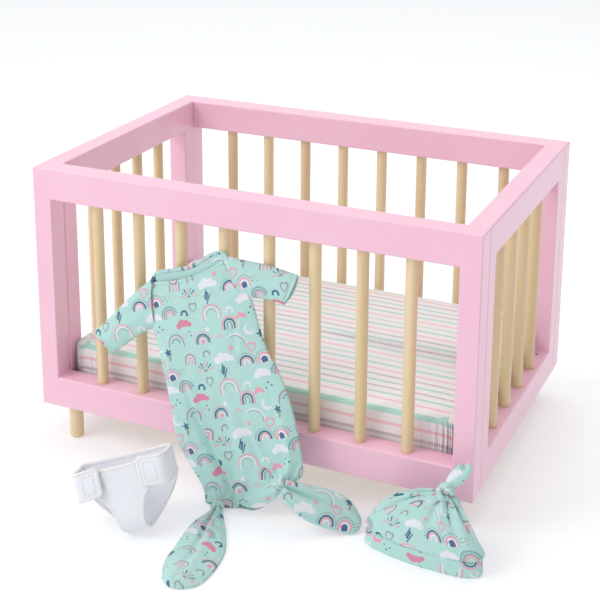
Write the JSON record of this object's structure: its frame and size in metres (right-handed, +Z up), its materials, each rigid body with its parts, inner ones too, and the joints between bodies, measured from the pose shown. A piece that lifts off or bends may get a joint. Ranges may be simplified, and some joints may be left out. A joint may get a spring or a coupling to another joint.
{
  "type": "doll crib set",
  "caption": "Painted wooden doll crib with dowel-spindle sides and turned feet, a mattress with a striped fitted sheet, a knotted gown, a knotted cap and a tabbed cloth diaper.",
  "frame": {"origin": "on the floor, under the middle of the whole set's outline (the crib's own middle is 14 mm to the left and 100 mm behind it)", "axes": "+X along the crib to its right, +Y from the front to the back, +Z up"},
  "size_m": [0.5482, 0.5541, 0.328],
  "materials": {
    "painted_wood": "gloss paint",
    "birch": "clear satin lacquer",
    "plywood": "sanded",
    "steel": "zinc plated",
    "foam": "matt",
    "sheet_cloth": "smooth printed cotton",
    "printed_jersey": "printed cotton jersey",
    "terry_cloth": "terry cloth"
  },
  "bodies": {
    "crib": {"front_top_rail": "painted_wood", "front_bottom_rail": "painted_wood", "back_top_rail": "painted_wood", "back_bottom_rail": "painted_wood", "left_top_rail": "painted_wood", "left_bottom_rail": "painted_wood", "right_top_rail": "painted_wood", "right_bottom_rail": "painted_wood", "front_left_post": "painted_wood", "front_right_post": "painted_wood", "back_left_post": "painted_wood", "back_right_post": "painted_wood", "left_front_post": "painted_wood", "left_back_post": "painted_wood", "right_front_post": "painted_wood", "right_back_post": "painted_wood", "front_spindle_1": "birch", "front_spindle_2": "birch", "front_spindle_3": "birch", "front_spindle_4": "birch", "front_spindle_5": "birch", "front_spindle_6": "birch", "front_spindle_7": "birch", "front_spindle_8": "birch", "back_spindle_1": "birch", "back_spindle_2": "birch", "back_spindle_3": "birch", "back_spindle_4": "birch", "back_spindle_5": "birch", "back_spindle_6": "birch", "back_spindle_7": "birch", "back_spindle_8": "birch", "left_spindle_1": "birch", "left_spindle_2": "birch", "left_spindle_3": "birch", "left_spindle_4": "birch", "right_spindle_1": "birch", "right_spindle_2": "birch", "right_spindle_3": "birch", "right_spindle_4": "birch", "foot_front_left": "birch", "foot_front_right": "birch", "foot_back_left": "birch", "foot_back_right": "birch", "frame_dowels": "birch", "connecting_pins": "steel", "lock_screws": "steel", "foot_bolts": "steel", "base_board": "plywood", "support_cleats": "birch"},
    "mattress": {"mattress_core": "foam", "fitted_sheet": "sheet_cloth"},
    "gown": {"gown_body": "printed_jersey", "gown_sleeves": "printed_jersey", "gown_tails": "printed_jersey"},
    "cap": {"cap_crown": "printed_jersey", "cap_knot": "printed_jersey"},
    "diaper": {"diaper_body": "terry_cloth"},
    "diaper_tab_left": {"diaper_tab_left": "terry_cloth"},
    "diaper_tab_right": {"diaper_tab_right": "terry_cloth"}
  },
  "joints": [
    {"name": "mattress_lift", "type": "slide", "parent": "crib", "child": "mattress", "axis": [0, 0, 1], "range_m": [0, 0.28]},
    {"name": "gown_lift", "type": "slide", "parent": "crib", "child": "gown", "axis": [0, -0.2873, 0.9578], "range_m": [0, 0.35]},
    {"name": "cap_lift", "type": "slide", "parent": "crib", "child": "cap", "axis": [0, 0, 1], "range_m": [0, 0.35]},
    {"name": "diaper_lift", "type": "slide", "parent": "crib", "child": "diaper", "axis": [0, -0.2873, 0.9578], "range_m": [0, 0.35]},
    {"name": "diaper_tab_left_hinge", "type": "hinge", "parent": "diaper", "child": "diaper_tab_left", "pos_m": [-0.13674, -0.20054, 0.04006], "axis": [0.3705, -0.1886, -0.9095], "range_deg": [0, 80]},
    {"name": "diaper_tab_right_hinge", "type": "hinge", "parent": "diaper", "child": "diaper_tab_right", "pos_m": [-0.04775, -0.16741, 0.06944], "axis": [-0.3705, 0.1886, 0.9095], "range_deg": [0, 80]}
  ]
}
